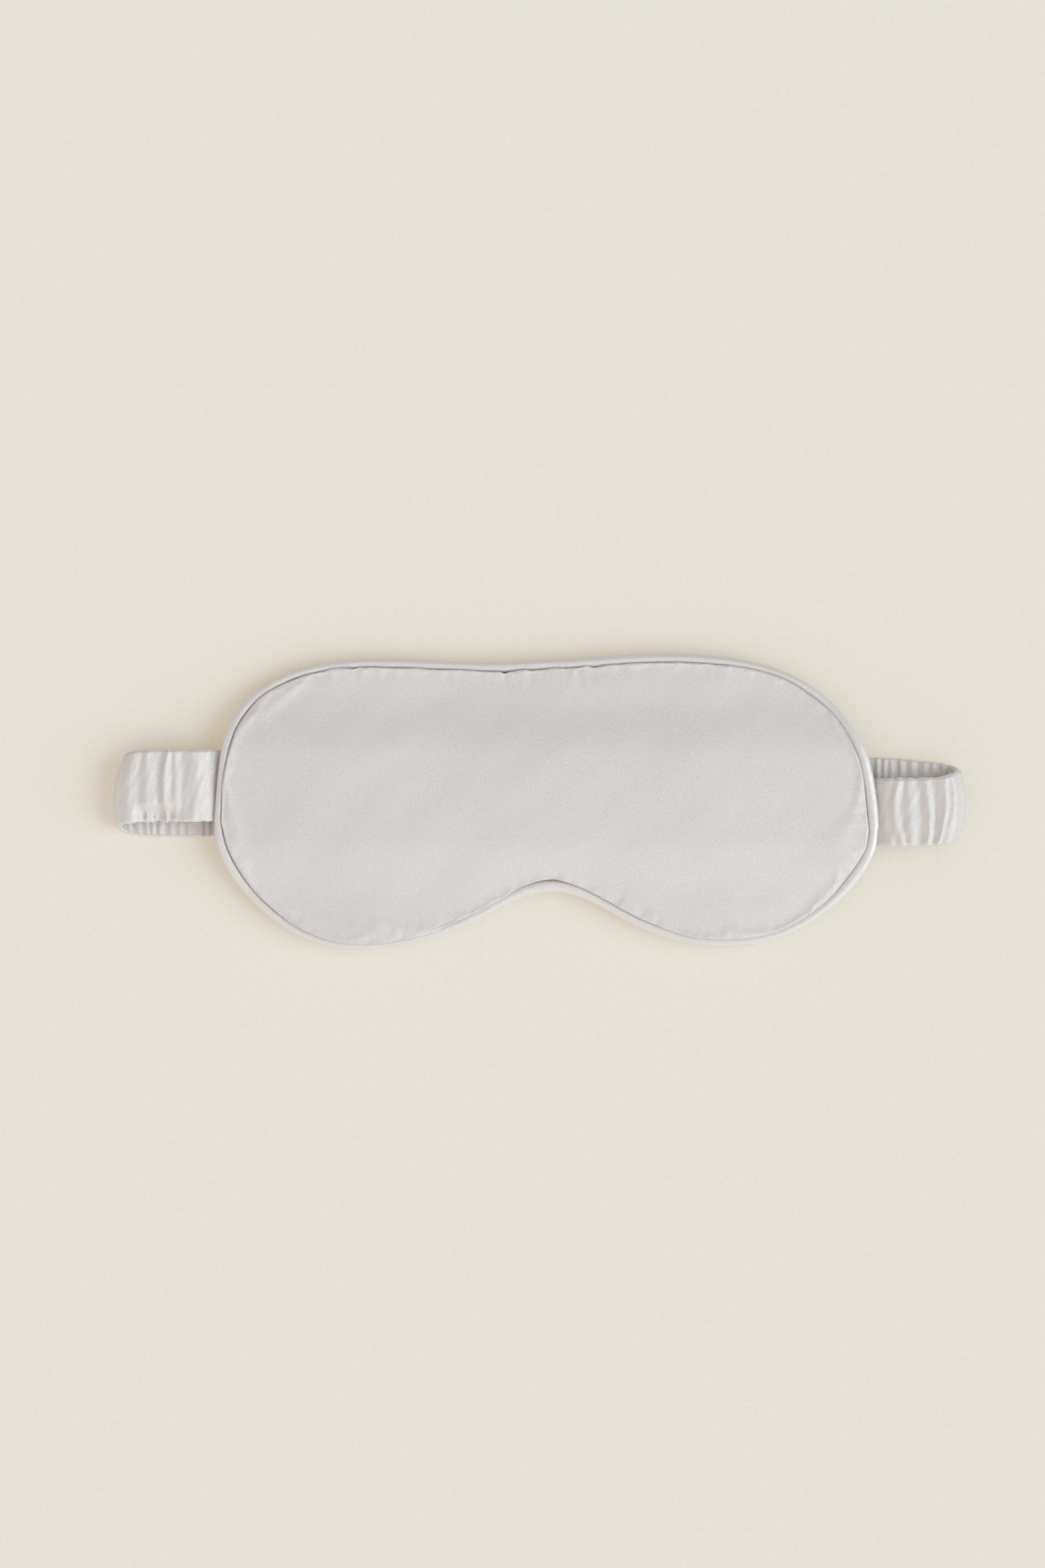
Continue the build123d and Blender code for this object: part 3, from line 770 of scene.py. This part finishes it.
def turn_shift(across):
    """How far the strap's edges are drawn back, along x, from its two turns."""
    left = np.clip((-121.5 - path_x) / (137.3 - 121.5), 0, 1) ** 1.6
    right = np.clip((path_x - 117.0) / (132.3 - 117.0), 0, 1) ** 1.6
    left_back = np.where(across > -0.35,
                         4.6 * (np.clip(across + 0.35, 0, 2) / 1.35) ** 2,
                         1.4 * (np.clip(-0.35 - across, 0, 1) / 0.65) ** 2)
    right_back = np.where(across > 0.1,
                          1.7 * (np.clip(across - 0.1, 0, 1) / 0.9) ** 2,
                          2.8 * (np.clip(0.1 - across, 0, 2) / 1.1) ** 2.6)
    return left * left_back - right * right_back


def section_points(rows, arc_steps):
    """Once round a flat tube: outer sheet, bottom edge, inner sheet, top edge. Each point is
    row, angle from the outer face, and whether it is past the bottom edge."""
    arcs = [math.pi * k / arc_steps for k in range(1, arc_steps)]
    return ([(j, 0.0, False) for j in range(rows - 1, -1, -1)]
            + [(0, angle, False) for angle in arcs]
            + [(j, math.pi, True) for j in range(rows)]
            + [(rows - 1, math.pi - angle, True) for angle in arcs])


def on_path(outward, across, y):
    """Points of one line along the strap."""
    return np.column_stack([path_x + out_x * outward + turn_shift(across / half_width), y,
                            path_z + out_z * outward])


def cloth_points(y, layer):
    """Where the same line lies on the flat cloth."""
    return np.column_stack([along, np.full(STRAP_STATIONS, y), np.full(STRAP_STATIONS, layer)])


def gathered_sheets():
    """Relief of the outer and inner sheets of the casing."""
    outer_folds, inner_folds = fold_lists()
    outer, inner = relief(outer_folds), relief(inner_folds)
    # the sewn ends are flat, and the length under the pad is pressed
    ends = smoothstep((along - along[0] - 4.0) / 5.0) * smoothstep((along[-1] - along) / 4.0)
    ends_outer = 0.25 + 0.75 * ends
    pressed = 1 - 0.25 * (smoothstep((path_x + 106) / 6) * smoothstep((103 - path_x) / 6)
                          * (path_z < 3))
    crepe = strap_noise(1.4, 0.0, 2.2, 4.0) + 0.6 * strap_noise(0.8, 0.0, 6.0, 9.0)
    crinkle = strap_noise(1.9, 1.3, 1.9, 14.0, shift=3.0)
    pinch = strap_noise(1.25, 2.4, 1.6, 23.0) + 0.5 * strap_noise(0.7, -2.0, 3.0, 31.0)
    outer = (outer * (ends_outer * pressed)[:, None] + 0.045 * crepe
             + 0.2 * crinkle * ends_outer[:, None])
    # the cheek side of the left turn is drawn together and puckers
    outer += 0.75 * pinch * drawn[:, None] * smoothstep((-0.66 - ACROSS) / 0.2)[None]
    inner = (inner * (ends * pressed)[:, None] + 0.045 * crepe[:, ::-1]
             + 0.12 * crinkle[:, ::-1] * ends[:, None])
    # a gather is no deeper than the room over the band
    room = (half_thick - 0.24)[:, None]
    return [np.where(sheet < 0, room * np.tanh(sheet / room), sheet) for sheet in (outer, inner)]


def casing_grid():
    """The gathered satin tube: points, and their places on the cloth."""
    outer, inner = gathered_sheets()
    flat = half_width - half_thick
    lines, cloth = [], []
    for j, angle, second_half in section_points(ROWS, 8):
        share = angle / math.pi
        side, out = np.sign(ACROSS[j]) * math.sin(angle), math.cos(angle)
        y = ACROSS[j] * flat + half_thick * side
        rise = outer[:, j] * (1 - share) + inner[:, j] * share
        rise = rise * (1 - 0.35 * abs(side))
        outward = half_thick * out + out * rise - cheek_drop(ACROSS[j])
        lines.append(on_path(outward, y, middle_y + y + side * np.where(rise > 0, 1.5, 1.0) * rise))
        cloth.append(cloth_points(y, 30.0 if second_half else 0.0))
    points = np.stack(lines, axis=1)
    z = points[:, :, 2]
    table_z = 0.12                   # the table presses the cloth flat here
    z = np.where(z < table_z, table_z + (z - table_z) * 0.05, z)
    below = smoothstep((path_x + 104) / 4) * smoothstep((101 - path_x) / 4)
    under_pad = below[:, None] * (z < 4)
    points[:, :, 2] = np.where(under_pad > 0.5, np.minimum(z, 2.3), z)
    return points, np.stack(cloth, axis=1)


def elastic_grid():
    """The band inside the casing: points, and their places on the cloth."""
    band_thick = 0.2                 # half thickness
    flat = 9.4 - band_thick          # half width without the round edges
    rows = 13
    across = np.linspace(-1, 1, rows)
    lines, cloth = [], []
    for j, angle, _ in section_points(rows, 4):
        y = across[j] * flat + np.sign(across[j]) * band_thick * math.sin(angle)
        outward = band_thick * math.cos(angle) - cheek_drop(y / (half_width - half_thick))
        lines.append(on_path(outward, y, middle_y + y))
        cloth.append(cloth_points(y, 0.0))
    return np.stack(lines, axis=1), np.stack(cloth, axis=1)


def grid_normals(points):
    lengthwise = np.gradient(points, axis=0)
    around = (np.roll(points, -1, axis=1) - np.roll(points, 1, axis=1)) / 2
    normals = np.cross(lengthwise, around)
    return normals / np.maximum(np.linalg.norm(normals, axis=2), 1e-9)[:, :, None]


def tube_piece(name, points, cloth, normals):
    """One length of the strap."""
    faces = ring_faces(points.shape[0], points.shape[1])
    piece = add_mesh(name, points.reshape(-1, 3), faces)
    attribute = piece.data.attributes.new("cloth", "FLOAT_VECTOR", "POINT")
    attribute.data.foreach_set("vector", cloth.reshape(-1).astype(np.float32))
    piece.data.normals_split_custom_set_from_vertices(normals.reshape(-1, 3).tolist())
    return piece


# ------------------------------------------------------------------ material helpers
def fill(tree, shader_node, **values):
    """Sets or links inputs, with _ for a space in their names; other names are properties."""
    for key, value in values.items():
        socket = key.replace("_", " ")
        if socket not in shader_node.inputs:
            setattr(shader_node, key, value)
        elif isinstance(value, bpy.types.NodeSocket):
            tree.links.new(value, shader_node.inputs[socket])
        else:
            shader_node.inputs[socket].default_value = value


def node(tree, kind, **values):
    made = tree.nodes.new(kind)
    fill(tree, made, **values)
    return made


def new_material(name):
    material = bpy.data.materials.new(name)
    material.use_nodes = True
    tree = material.node_tree
    tree.nodes.clear()
    output = tree.nodes.new("ShaderNodeOutputMaterial")
    shader = tree.nodes.new("ShaderNodeBsdfPrincipled")
    tree.links.new(shader.outputs[0], output.inputs[0])
    return material, tree, shader


def object_coordinates(tree):
    return tree.nodes.new("ShaderNodeTexCoord").outputs["Object"]


def cloth_coordinates(tree, attribute):
    """A vector, and its units in a millimetre: the attribute's, or the object's own in metres."""
    if attribute:
        source = node(tree, "ShaderNodeAttribute", attribute_name=attribute)
        return source.outputs["Vector"], 1.0
    return object_coordinates(tree), 1000.0


def mapping(tree, source, scale, rotation=(0, 0, 0)):
    made = node(tree, "ShaderNodeMapping", Scale=scale, Rotation=rotation, Vector=source)
    return made.outputs["Vector"]


def noise_texture(tree, vector, scale, detail, roughness):
    made = node(tree, "ShaderNodeTexNoise", Scale=scale, Detail=detail, Roughness=roughness,
                Vector=vector)
    return made.outputs["Fac"]


def math_node(tree, operation, first, second):
    made = node(tree, "ShaderNodeMath", operation=operation)
    tree.links.new(first, made.inputs[0])
    tree.links.new(second, made.inputs[1])
    return made.outputs[0]


def around_one(tree, value, reach, change):
    """Maps 0.5 - reach to 0.5 + reach onto 1 - change to 1 + change."""
    made = node(tree, "ShaderNodeMapRange", From_Min=0.5 - reach, From_Max=0.5 + reach,
                To_Min=1 - change, To_Max=1 + change, Value=value)
    return made.outputs[0]


def ramp(tree, value, low_color, high_color, ends=(0.0, 1.0)):
    made = node(tree, "ShaderNodeValToRGB", Fac=value)
    for element, place, color in zip(made.color_ramp.elements, ends, (low_color, high_color)):
        element.position = place
        element.color = (*color, 1)
    return made.outputs["Color"]


def bump(tree, height, strength, distance):
    """Surface relief; distance is in metres."""
    made = node(tree, "ShaderNodeBump", Strength=strength, Distance=distance, Height=height)
    return made.outputs["Normal"]


def darker(color, share):
    return [c * share for c in color]


def set_material(piece, material):
    piece.data.materials.clear()
    piece.data.materials.append(material)


# ------------------------------------------------------------------ materials
WEAVE_TURN = (0, 0, math.radians(-38))
# a painted shade colour: the shadow in the groove where the front panel's edge meets the piping
PAINTED_SEAM_SHADE = (0.36, 0.31, 0.29, 1)


def satin(name, color, roughness, metallic, grain, attribute=None, seam=False):
    """Polyester satin: a close sheen with a faint slanting weave grain."""
    material, tree, shader = new_material(name)
    source, unit = cloth_coordinates(tree, attribute)
    # weave: short slanting floats
    vector = mapping(tree, source, (unit * 1.5, unit * 4.2, unit * 1.5), WEAVE_TURN)
    floats = noise_texture(tree, vector, scale=1.0, detail=3.0, roughness=0.65)
    vector = mapping(tree, source, (unit * 5.0, unit * 2.2, unit * 5.0), WEAVE_TURN)
    crossing = noise_texture(tree, vector, scale=1.0, detail=1.0, roughness=0.5)
    weave = math_node(tree, "ADD", floats, crossing)
    normal = bump(tree, weave, strength=grain, distance=0.0002)
    # slow change of tone, and a little in the grain
    vector = mapping(tree, source, (unit * 0.02,) * 3)
    cloud = noise_texture(tree, vector, scale=1.0, detail=2.0, roughness=0.5)
    tone = around_one(tree, cloud, reach=0.25, change=0.02)
    fleck = around_one(tree, floats, reach=0.2, change=0.07)
    shade = math_node(tree, "MULTIPLY", tone, fleck)
    result = node(tree, "ShaderNodeMix", data_type="RGBA", blend_type="MULTIPLY",
                  Factor=1.0, A=(*color, 1), B=shade).outputs["Result"]
    if seam:
        # where the turned edge goes down beside the piping, a thin dark line of painted shade stands
        # for the shadow in the groove
        depth = node(tree, "ShaderNodeAttribute", attribute_name="seam")
        result = node(tree, "ShaderNodeMix", data_type="RGBA", blend_type="MIX",
                      Factor=depth.outputs["Fac"], A=result, B=PAINTED_SEAM_SHADE).outputs["Result"]
    fill(tree, shader, Normal=normal, Base_Color=result, Roughness=roughness, Metallic=metallic,
         Specular_IOR_Level=0.5, Sheen_Weight=0.08, Sheen_Roughness=0.4)
    return material


def fleece(name, color):
    material, tree, shader = new_material(name)
    fibres = noise_texture(tree, object_coordinates(tree), scale=900.0, detail=6.0, roughness=0.7)
    fill(tree, shader, Base_Color=ramp(tree, fibres, darker(color, 0.8), color),
         Normal=bump(tree, fibres, strength=0.6, distance=0.0004),
         Roughness=0.95, Sheen_Weight=0.4)
    return material


def woven(name, color, pitch, attribute=None):
    """A plain ribbed weave, for the elastic, the cord, the thread and the blackout layer."""
    material, tree, shader = new_material(name)
    source, unit = cloth_coordinates(tree, attribute)
    vector = mapping(tree, source, (unit / pitch * 0.32,) * 3)
    waves = [node(tree, "ShaderNodeTexWave", wave_type="BANDS", bands_direction=direction,
                  Scale=1.0, Distortion=0.6, Detail=1.0, Vector=vector).outputs["Fac"]
             for direction in "XY"]
    ribs = math_node(tree, "MAXIMUM", *waves)
    fill(tree, shader, Base_Color=ramp(tree, ribs, darker(color, 0.6), color),
         Normal=bump(tree, ribs, strength=0.7, distance=0.0002), Roughness=0.8)
    return material


def floor_paper():
    """A board lit a little from below, as on a light table, which keeps its shadows pale."""
    material, tree, shader = new_material("floor_paper")
    grain = noise_texture(tree, object_coordinates(tree), scale=700.0, detail=5.0, roughness=0.6)
    color = ramp(tree, grain, (0.532, 0.590, 0.614), (0.566, 0.626, 0.654), ends=(0.3, 0.7))
    fill(tree, shader, Base_Color=color, Roughness=0.95, Specular_IOR_Level=0.1,
         Emission_Color=(0.3007, 0.2150, 0.1250, 1), Emission_Strength=1.0)
    return material


ELASTIC_COLOR = (0.78, 0.76, 0.73)
# the front panel's material takes the painted shade of the groove beside the piping
satin_panel = satin("satin_panel", (0.757, 0.724, 0.729), roughness=0.45, metallic=0.2,
                    grain=0.6, seam=True)
satin_piping = satin("satin_piping", (0.790, 0.762, 0.757), roughness=0.36, metallic=0.3,
                     grain=0.4)
satin_strap = satin("satin_strap", (0.750, 0.712, 0.706), roughness=0.36, metallic=0.2,
                    grain=0.6, attribute="cloth")
wadding_fleece = fleece("wadding_fleece", (0.84, 0.84, 0.82))
elastic_weave = woven("elastic_weave", ELASTIC_COLOR, pitch=0.8, attribute="cloth")
elastic_ends = woven("elastic_weave_ends", ELASTIC_COLOR, pitch=0.8)
blackout_weave = woven("blackout_weave", (0.02, 0.02, 0.024), pitch=0.6)
cord_twist = woven("cord_twist", (0.80, 0.78, 0.74), pitch=0.7)
thread_twist = woven("thread_twist", (0.66, 0.64, 0.62), pitch=0.25)


# ------------------------------------------------------------------ build the pad
def finish_pad_piece(piece, material, cad_node):
    set_material(piece, material)
    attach(piece, "pad")
    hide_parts(cad_node)


def mark_painted_seam_shade(panel):
    """Painted shade of the groove beside the piping, on the front panel's turned edge, for its
    material.
    """
    seam = np.zeros(len(panel.data.vertices), np.float32)
    # painted shade, stronger where the groove is open, and changing slowly along the edge
    painted_shade = np.clip(0.62 + 0.5 * edge_noise(41, 7.0), 0, 1) * loose ** 0.7
    for k, inset in enumerate([0.0] + RING_INSETS):
        seam[k * STATIONS:(k + 1) * STATIONS] = painted_shade * math.exp(-(inset / 0.15) ** 2)
    panel.data.attributes.new("seam", "FLOAT", "POINT").data.foreach_set("value", seam)


def wadding_mesh(rings, inner, first, up, floor_z):
    """The fleece just under a satin panel: the panel's inside at every fourth station, from its
    ring number first inwards, closed by a flat floor."""
    cover_gap, least_depth = 0.5, 0.3
    rings, inner = thin_out(rings, inner)
    top = []
    for k, cover_ring in enumerate(rings[first:]):
        ring = cover_ring.copy()
        ring[:, :2] += INWARD[::THIN] * 0.75 * max(0.0, min(1.0, 1 - (k - 3) / 8))
        ring[:, 2] -= cover_gap * up
        clear = np.maximum if up > 0 else np.minimum
        ring[:, 2] = clear(ring[:, 2], floor_z + least_depth * up)
        top.append(ring)
    inner = inner.copy()
    inner[..., 2] -= cover_gap * up
    top_vertices, faces = panel_mesh(top, inner, flip=up > 0)
    rim = top[0].copy()
    rim[:, 2] = floor_z
    low = middle_grid(rim[:, :2])[1:-1, 1:-1]
    low = np.concatenate([low, np.full(low.shape[:2] + (1,), floor_z)], -1)
    low_vertices, low_faces = panel_mesh([rim], low, flip=up < 0)
    count, below = len(rim), len(top_vertices)
    faces += [tuple(i + below for i in face) for face in low_faces]
    for i in range(count):
        j = (i + 1) % count
        quad = (i, j, below + j, below + i)
        faces.append(quad if up > 0 else quad[::-1])
    return np.vstack([top_vertices, low_vertices]), faces


def lowered_stitches(name, cad_node, lift):
    """The seam's stitches, which follow the pad's edge down where it sags."""
    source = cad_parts[cad_node]
    mesh = source.data.copy()
    mesh.name = name
    mesh.transform(source.matrix_world)
    points = np.array([v.co for v in mesh.vertices], float).reshape(-1, 3)
    points[:, 2] += (lift - sag(points * 1000)) * MM
    mesh.vertices.foreach_set("co", points.astype(np.float32).ravel())
    mesh.update()
    piece = bpy.data.objects.new(name, mesh)
    bpy.context.scene.collection.objects.link(piece)
    finish_pad_piece(piece, thread_twist, cad_node)


front_rings, front_inner = shape_front()
front = add_mesh("front_satin_panel", *panel_mesh(front_rings, front_inner, flip=True))
calm_corners(front, front_rings[-1])
mark_painted_seam_shade(front)
finish_pad_piece(front, satin_panel, "front_panel")

back_rings, back_inner = shape_back()
back = add_mesh("back_satin_panel", *panel_mesh(back_rings, back_inner, flip=False))
calm_corners(back, back_rings[-1])
finish_pad_piece(back, satin_panel, "back_panel")

piping = add_mesh("piping_satin_cover", *shape_piping())
finish_pad_piece(piping, satin_piping, "piping_cover")

front_wadding = add_mesh("front_fleece_wadding", *wadding_mesh(
    front_rings, front_inner, first=5, up=1, floor_z=6.05))
finish_pad_piece(front_wadding, wadding_fleece, "front_wadding")
back_wadding = add_mesh("back_fleece_wadding", *wadding_mesh(
    back_rings, back_inner, first=6, up=-1, floor_z=5.65))
finish_pad_piece(back_wadding, wadding_fleece, "back_wadding")

cord = add_mesh("piping_filler_cord", *shape_cord())
finish_pad_piece(cord, cord_twist, "piping_cord")

lowered_stitches("needle_thread_stitches", "needle_thread", lift=0.0)
lowered_stitches("bobbin_thread_stitches", "bobbin_thread", lift=0.9)

# CAD pieces that are kept as they are
KEPT_PIECES = {
    "blackout_interlining": blackout_weave,
    "left_tack_stitches": thread_twist, "right_tack_stitches": thread_twist,
    "elastic_end_right": elastic_ends, "casing_end_right": satin_piping,
}
for cad_name, kept_material in KEPT_PIECES.items():
    set_material(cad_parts[cad_name], kept_material)

# ------------------------------------------------------------------ build the strap
# the run and x at which one length ends and the next begins
CUTS = [
    (upper_left, -112.6), (upper_left, -131.4), (lower, -129.6), (lower, -112.6), (lower, -100.5),
    (lower, 95.0), (lower, 107.6), (lower, 124.6), (upper_right, 124.6), (upper_right, 107.6),
]
# name, bodies it rides, points where the blend between them starts and ends, and the CAD
# lengths it stands for, without their casing_ or elastic_
STRAP_LENGTHS = [
    ("left_seam", ("pad", "left_upper_inner"), (-105.2, 0, 5), (-110.6, 0, 5),
     ["left_upper_inner", "end_left"]),
    ("left_over", ("left_upper_inner", "left_upper_outer"), (-113.0, 0, 9), (-128.6, 0, 9),
     ["left_upper_outer"]),
    ("left_turn", ("left_upper_outer", "left_lower_outer"), (-132, 0, 7.5), (-132, 0, 2.6), []),
    ("left_under", ("left_lower_outer", "left_lower_inner"), (-129.2, 0, 1), (-113.0, 0, 1),
     ["left_lower_outer"]),
    ("left_hinge", ("left_lower_inner", "back_strap"), (-111.6, 0, 1), (-103.0, 0, 1),
     ["left_lower_inner"]),
    ("back", ("back_strap",), None, None, ["back"]),
    ("right_hinge", ("back_strap", "right_lower_inner"), (97.9, 0, 1), (106.5, 0, 1),
     ["right_lower_inner"]),
    ("right_under", ("right_lower_inner", "right_lower_outer"), (108.0, 0, 1), (124.2, 0, 1),
     ["right_lower_outer"]),
    ("right_turn", ("right_lower_outer", "right_upper_outer"), (127, 0, 2.9), (127, 0, 7.4),
     ["right_upper_outer"]),
    ("right_over", ("right_upper_outer", "right_upper_inner"), (124.2, 0, 9), (108.0, 0, 9), []),
    ("right_seam", ("right_upper_inner",), None, None, ["right_upper_inner"]),
]


def build_strap():
    # object name, its grids, material, start of the CAD names, slot
    layers = [
        ("satin_casing", casing_grid(), satin_strap, "casing_", "satin"),
        ("elastic_band", elastic_grid(), elastic_weave, "elastic_", "elastic"),
    ]
    layers = [(kind, (points, cloth, grid_normals(points)), *rest)
              for kind, (points, cloth), *rest in layers]
    cuts = [int(round(float(run(x)) / STRAP_STEP)) for run, x in CUTS]
    cuts = [0] + cuts + [STRAP_STATIONS - 1]
    for length, first, last in zip(STRAP_LENGTHS, cuts[:-1], cuts[1:]):
        name, bodies, start, end, stands_for = length
        for kind, grids, material, prefix, slot in layers:
            piece = tube_piece(f"{kind}_{name}", *[grid[first:last + 1] for grid in grids])
            set_material(piece, material)
            if len(bodies) == 2:
                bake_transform(piece)
            else:
                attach(piece, bodies[0])
            if stands_for:
                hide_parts(*[prefix + part for part in stands_for])


build_strap()

# ------------------------------------------------------------------ stage, light, camera (metres)
scene = bpy.context.scene


def add_floor(half_side):
    mesh = bpy.data.meshes.new("floor")
    corners = [(x * half_side, y * half_side, 0) for x, y in ((-1, -1), (1, -1), (1, 1), (-1, 1))]
    mesh.from_pydata(corners, [], [(0, 1, 2, 3)])
    floor = bpy.data.objects.new("floor", mesh)
    scene.collection.objects.link(floor)
    set_material(floor, floor_paper())
    floor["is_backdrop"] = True


def add_window(azimuth, elevation):
    """A broad soft sun, placed by its angle from +x and its height above the table."""
    light = bpy.data.lights.new("window", "SUN")
    light.energy = 1.75
    light.angle = math.radians(52)
    light.color = (0.80, 0.92, 0.97)
    window = bpy.data.objects.new("window", light)
    level = math.cos(elevation)
    toward = Vector((math.cos(azimuth) * level, math.sin(azimuth) * level, math.sin(elevation)))
    window.rotation_euler = toward.to_track_quat("Z", "Y").to_euler()
    scene.collection.objects.link(window)


def add_room(base, along_x, along_y):
    """The room's warm light: its strength, and how that changes towards +x and +y."""
    world = bpy.data.worlds.new("room")
    world.use_nodes = True
    tree = world.node_tree
    direction = node(tree, "ShaderNodeTexCoord").outputs["Generated"]
    axes = tree.nodes.new("ShaderNodeSeparateXYZ")
    tree.links.new(direction, axes.inputs[0])
    by_y = node(tree, "ShaderNodeMath", operation="MULTIPLY_ADD")
    by_y.inputs[1].default_value = along_y
    by_y.inputs[2].default_value = base
    tree.links.new(axes.outputs["Y"], by_y.inputs[0])
    by_x = node(tree, "ShaderNodeMath", operation="MULTIPLY_ADD")
    by_x.inputs[1].default_value = along_x
    tree.links.new(axes.outputs["X"], by_x.inputs[0])
    tree.links.new(by_y.outputs[0], by_x.inputs[2])
    fill(tree, tree.nodes["Background"], Strength=by_x.outputs[0], Color=(1.0, 0.945, 0.89, 1))
    scene.world = world


def add_camera(height, view_width, offset):
    """Looks straight down; view_width is what it sees at its height, and offset shifts it."""
    low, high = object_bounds()
    lens = bpy.data.cameras.new("camera")
    camera = bpy.data.objects.new("camera", lens)
    scene.collection.objects.link(camera)
    lens.sensor_width = 36
    lens.lens = 36 * height / view_width
    camera.location = ((low.x + high.x) / 2 + offset[0], (low.y + high.y) / 2 + offset[1],
                       height + offset[2])
    scene.camera = camera


add_floor(half_side=2.5)
add_window(azimuth=math.radians(-8), elevation=math.radians(35))
add_room(base=0.64, along_x=-0.25, along_y=-0.29)
scene.view_settings.view_transform = "Standard"
add_camera(height=1.7, view_width=0.495, offset=(-0.0054, 0.0056, 0.0075))
